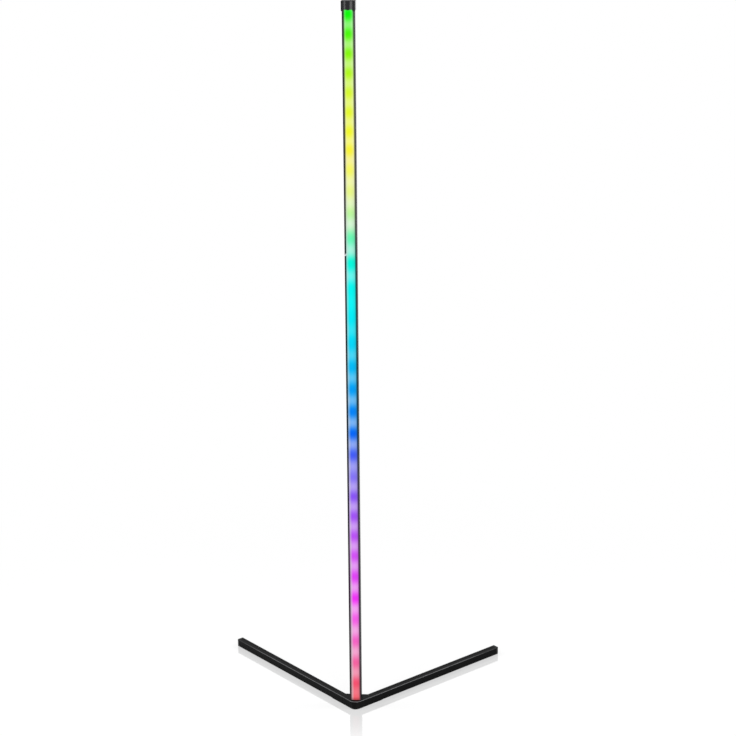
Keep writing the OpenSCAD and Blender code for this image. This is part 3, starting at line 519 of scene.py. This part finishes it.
def grow(name, tree, points, given, stoodFor):  # runs a tree and leaves a plain mesh
    piece = bpy.data.objects.new(name, bpy.data.meshes.new(name + "Points"))
    piece.data.from_pydata(points, [], [])
    bpy.context.scene.collection.objects.link(piece)
    work = piece.modifiers.new("grow", "NODES")
    work.node_group = tree
    for item in tree.interface.items_tree:
        if item.name in given:
            work[item.identifier] = given[item.name]
    mesh = bpy.data.meshes.new_from_object(piece.evaluated_get(bpy.context.evaluated_depsgraph_get()))
    piece.modifiers.remove(work)
    mesh.name = name
    mesh.materials.clear()  # drops the tree's empty slot
    mesh.materials.append(given["Finish"])
    mesh.polygons.foreach_set("material_index", [0] * len(mesh.polygons))
    mesh.polygons.foreach_set("use_smooth", [True] * len(mesh.polygons))
    mesh.set_sharp_from_angle(angle=math.radians(32))
    piece.data = mesh
    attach(piece, "root")
    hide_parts(stoodFor)


screwForm = {  # shares of a screw's own sizes, but for the two in metres
    "rings": 72, "crowding": 2.1, "sides": 28,  # rings along the screw, closer together at the head
    "rimHeight": 0.55, "panFlat": 0.80, "panRise": 0.20, "coneSlope": 0.6, "coneLip": 0.00008,  # the lip in metres
    "core": 0.8, "tipLength": 1.6, "tipSlope": 0.6, "tipWidth": 0.35,
    "socket": 0.38, "barLong": 1.1, "barWide": 0.22, "panDeep": 0.5, "coneDeep": 0.6,
    "threadStart": 0.0004, "threadEnd": 1.2, "coil": 0.78, "ridge": 0.2, "coilSteps": 14,  # the start in metres
}


def screwTree(k):
    m = Maker("screwMaker", {
        "Thread Radius": 0.0014, "Thread Length": 0.016, "Head Radius": 0.0026, "Head Height": 0.002,
        "Countersunk": False, "Pitch": 0.0006, "Axis": (0.0, 0.0, 1.0)})
    g = m.given
    sunk = g["Countersunk"]
    r, length, headR, headT = g["Thread Radius"], g["Thread Length"], g["Head Radius"], g["Head Height"]
    bottom = headT * (sunk - 1)  # the head's outer face
    rod = m.node("GeometryNodeCurvePrimitiveLine")
    rod = m.node("GeometryNodeResampleCurve", values={"Curve": rod, "Count": k["rings"]})
    share = m.node("GeometryNodeSplineParameter")
    height = bottom + (length - bottom) * share ** k["crowding"]
    rod = m.node("GeometryNodeSetPosition", values={"Geometry": rod, "Position": m.vector(0.0, 0.0, height)})
    z = m.position()[2]
    edge = 1 - (1 - ((z - bottom) / (headT * k["rimHeight"])).lower(1)).upper(0) ** 2  # the pan head's soft rim
    pan = headR * (k["panFlat"] + k["panRise"] * edge ** 0.5) * z.maths("LESS_THAN", z, 1e-6)
    cone = (headR - z).lower(headR - k["coneLip"] + z * k["coneSlope"])
    tip = ((length - z) / (r * k["tipLength"]) * k["tipSlope"] + k["tipWidth"]).lower(1)
    core = r * k["core"] * tip * z.maths("GREATER_THAN", z, -1e-6)
    radius = core.upper(pan * (1 - sunk)).upper(cone * sunk)
    ring = m.node("GeometryNodeCurvePrimitiveCircle", values={"Resolution": k["sides"], "Radius": 1.0})
    body = m.node("GeometryNodeCurveToMesh", values={
        "Curve": rod, "Profile Curve": ring, "Scale": radius, "Fill Caps": True})
    deep = headT * k["panDeep"] * (1 - sunk) + (headR - r) * k["coneDeep"] * sunk
    socket = m.node("GeometryNodeMeshCylinder", values={
        "Vertices": 6, "Radius": headR * k["socket"], "Depth": deep * 2})
    long, wide = k["barLong"], k["barWide"]
    bars = [m.node("GeometryNodeMeshCube", values={"Size": m.vector(headR * a, headR * b, deep * 2)})
            for a, b in ((long, wide), (wide, long))]
    cross = m.node("GeometryNodeJoinGeometry", values={0: bars})
    bit = m.node("GeometryNodeSwitch", {"input_type": "GEOMETRY"}, {"Switch": sunk, "False": cross, "True": socket})
    bit = m.node("GeometryNodeTransform", values={"Geometry": bit, "Translation": m.vector(0.0, 0.0, bottom)})
    body = m.node("GeometryNodeMeshBoolean", {"operation": "DIFFERENCE", "solver": "EXACT"}, {
        "Mesh 1": body, "Mesh 2": bit, "Self Intersection": True})
    start = (headR - r) * sunk + k["threadStart"]
    run = length - start - r * k["threadEnd"]
    coil = m.node("GeometryNodeCurveSpiral", values={
        "Resolution": k["coilSteps"], "Rotations": run / g["Pitch"], "Start Radius": r * k["coil"],
        "End Radius": r * k["coil"], "Height": run, "Reverse": True})  # reversed, it is a right-hand thread
    coil = m.node("GeometryNodeTransform", values={"Geometry": coil, "Translation": m.vector(0.0, 0.0, start)})
    ridge = m.node("GeometryNodeCurvePrimitiveCircle", values={"Resolution": 4, "Radius": r * k["ridge"]})
    thread = m.node("GeometryNodeCurveToMesh", values={"Curve": coil, "Profile Curve": ridge, "Fill Caps": True})
    return m.stand(m.node("GeometryNodeJoinGeometry", values={0: [body, thread]}), seed=7)


def ringNutTree():
    m = Maker("ringNutMaker", {
        "Outer Radius": 0.0052, "Bore Radius": 0.0039, "Thickness": 0.0018, "Grips": 18, "Grip Depth": 0.0003,
        "Axis": (0.0, 1.0, 0.0)})
    g = m.given
    wide = g["Outer Radius"] - g["Bore Radius"]
    middle = g["Bore Radius"] + wide * 0.5
    loop = m.node("GeometryNodeCurvePrimitiveCircle", values={"Resolution": 216, "Radius": middle})
    section = m.node("GeometryNodeCurvePrimitiveQuadrilateral", values={"Width": wide, "Height": g["Thickness"]})
    section = m.node("GeometryNodeFilletCurve", {"mode": "POLY"}, {"Curve": section, "Count": 3, "Radius": wide * 0.16})
    body = m.node("GeometryNodeCurveToMesh", values={"Curve": loop, "Profile Curve": section})
    x, y = m.position()[:2]
    out = (x * x + y * y) ** 0.5
    turn = y.maths("ARCTAN2", y, x)
    dip = ((turn * g["Grips"]).cosine() * 2.2).lower(1).upper(-1) * 0.5 + 0.5
    outerHalf = out.maths("GREATER_THAN", out - g["Bore Radius"] - wide * 0.5, 0.0)
    move = -(dip * outerHalf * g["Grip Depth"]) / out
    offset = m.vector(x * move, y * move, 0.0)
    return m.stand(m.node("GeometryNodeSetPosition", values={"Geometry": body, "Offset": offset}), seed=3)


screws = {  # metres: thread radius, head radius, head height, thread pitch
    "cover_screws": (0.0011, 0.0022, 0.001, 0.0005), "leg_screws": (0.0019, 0.0038, 0.001, 0.0007),
    "cap_screws": (0.0014, 0.0026, 0.001, 0.0006), "pole_screws": (0.0014, 0.0026, 0.002, 0.0006),
    "splice_screws": (0.0019, 0.0032, 0.0018, 0.0007),
}
screwMaker = screwTree(screwForm)
for node, (threadR, headR, headT, pitch) in screws.items():
    low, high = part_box(node)
    side, middle = high.x - headR, (low.y + high.y) / 2
    sunk = node in ("cover_screws", "leg_screws", "cap_screws")
    axis = (0.0, 0.0, -1.0 if node == "cap_screws" else 1.0)
    length = high.z - low.z if sunk else high.z - low.z - headT
    face = high.z if node == "cap_screws" else low.z if sunk else low.z + headT
    points = [(-side, middle, face), (side, middle, face)]
    if node == "splice_screws":
        axis, length, back = (0.0, -1.0, 0.0), high.y - low.y - headT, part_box("pole_lower")[1].y
        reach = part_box("pole_lower")[1].z - low.z - headR
        joints = (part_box("pole_lower")[1].z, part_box("pole_middle")[1].z)
        points = [(0, back, joint + s * reach) for joint in joints for s in (-1, 1)]
    grow(node.replace("_", "") + "Turned", screwMaker, points, {
        "Thread Radius": threadR, "Thread Length": length, "Head Radius": headR, "Head Height": headT,
        "Countersunk": sunk, "Pitch": pitch, "Axis": axis, "Finish": zinc}, node)
low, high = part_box("dc_nut")
grow("ringNutFluted", ringNutTree(), [tuple((low + high) / 2)], {
    "Axis": (0.0, 1.0, 0.0), "Finish": brightMetal}, "dc_nut")
print("screws and ring nut grown")


studio = {
    "drop": 0.00005,  # the floor, below the pads
    "floorRadius": 9.0, "floorSides": 96, "mirror": 0.27, "mirrorRoughness": 0.045,
    "lifted": 0.70, "fadeFrom": 0.5, "fadeTo": 1.3,  # white seen by the camera alone, and where the floor turns white
    "weakenFrom": 0.03, "weakenTo": 0.20, "weaken": 0.9,  # the mirror image weakens in front of the lamp
    "fill": 0.58, "boxAim": 0.7,  # strength of the world's pale fill, and the height that the boxes face
    "boxes": [  # azimuth from the front, elevation, distance, width, height, watts
        ("boxLeft", -32, 18, 3.4, 0.6, 2.0, 26),
        ("boxRight", 20, 18, 3.4, 1.1, 2.0, 44),
        ("sideLeft", -88, 38, 3.0, 1.0, 1.0, 32),
        ("sideRight", 98, 38, 3.0, 1.0, 1.0, 32),
    ],
}


def whiteFloor(s):
    f = Finish("floorWhite")
    tree = f.tree
    tree.nodes.remove(f.shader)
    matte = f.node("ShaderNodeBsdfDiffuse", values={"Color": (0.93, 0.93, 0.93)})
    mirror = f.node("ShaderNodeBsdfGlossy", values={"Color": (1, 1, 1), "Roughness": s["mirrorRoughness"]})
    seen = Flow(f, f.node("ShaderNodeLightPath").socket.node.outputs["Is Camera Ray"])
    white = f.node("ShaderNodeEmission", values={"Color": (1, 1, 1), "Strength": 1.0})
    pale = f.node("ShaderNodeMixShader", values={0: seen * s["lifted"], 1: matte, 2: white})
    x, y = f.axes()[:2]
    share = s["mirror"] * (1 - s["weaken"] * (-y).ease(s["weakenFrom"], s["weakenTo"]))
    near = f.node("ShaderNodeMixShader", values={0: share, 1: pale, 2: mirror})
    far = ((x * x + y * y) ** 0.5).ease(s["fadeFrom"], s["fadeTo"])
    both = f.node("ShaderNodeMixShader", values={0: far, 1: near, 2: white})
    end = next(n for n in tree.nodes if n.type == "OUTPUT_MATERIAL")
    tree.links.new(both.socket, end.inputs[0])
    mesh = bpy.data.meshes.new("floor")
    n, r = s["floorSides"], s["floorRadius"]
    turns = [2 * math.pi * i / n for i in range(n)]
    mesh.from_pydata([(r * math.cos(a), r * math.sin(a), -s["drop"]) for a in turns], [], [list(range(n))])
    mesh.materials.append(f.material)
    floor = bpy.data.objects.new("floor", mesh)
    bpy.context.scene.collection.objects.link(floor)
    unlit = bpy.data.collections.new("notLitBySleeve")  # the painted light stays off the white floor
    unlit.objects.link(floor)
    unlit.collection_objects[0].light_linking.link_state = "EXCLUDE"
    for name in ("light_sleeve", "pole_lower", "pole_middle", "pole_upper"):
        parts[name].light_linking.receiver_collection = unlit


def paleWorld(s):
    world = bpy.data.worlds.new("paleStudio")
    bpy.context.scene.world = world
    world.use_nodes = True
    b = Bench(world.node_tree)
    b.tree.nodes.clear()
    seen = b.node("ShaderNodeLightPath").socket.node.outputs
    camera, glossy, through = (Flow(b, seen["Is %s Ray" % kind]) for kind in ("Camera", "Glossy", "Transmission"))
    white = camera.upper(glossy).upper(through)
    strength = s["fill"] + (1 - s["fill"]) * white
    back = b.node("ShaderNodeBackground", values={"Color": (1, 1, 1), "Strength": strength})
    end = b.tree.nodes.new("ShaderNodeOutputWorld")
    b.tree.links.new(back.socket, end.inputs[0])


def softBoxes(s):
    for name, azimuth, elevation, distance, width, height, watts in s["boxes"]:
        a, e = math.radians(azimuth), math.radians(elevation)
        out = Vector((math.sin(a) * math.cos(e), -math.cos(a) * math.cos(e), math.sin(e)))
        data = bpy.data.lights.new(name, "AREA")
        data.shape, data.size, data.size_y, data.energy = "RECTANGLE", width, height, watts
        box = bpy.data.objects.new(name, data)
        bpy.context.scene.collection.objects.link(box)
        box.rotation_mode = "QUATERNION"
        box.rotation_quaternion = out.to_track_quat("Z", "Y")
        box.location = Vector((0, 0, s["boxAim"])) + out * distance


whiteFloor(studio)
paleWorld(studio)
softBoxes(studio)
bpy.context.scene.view_settings.view_transform = "Standard"
print("stage and lights set")
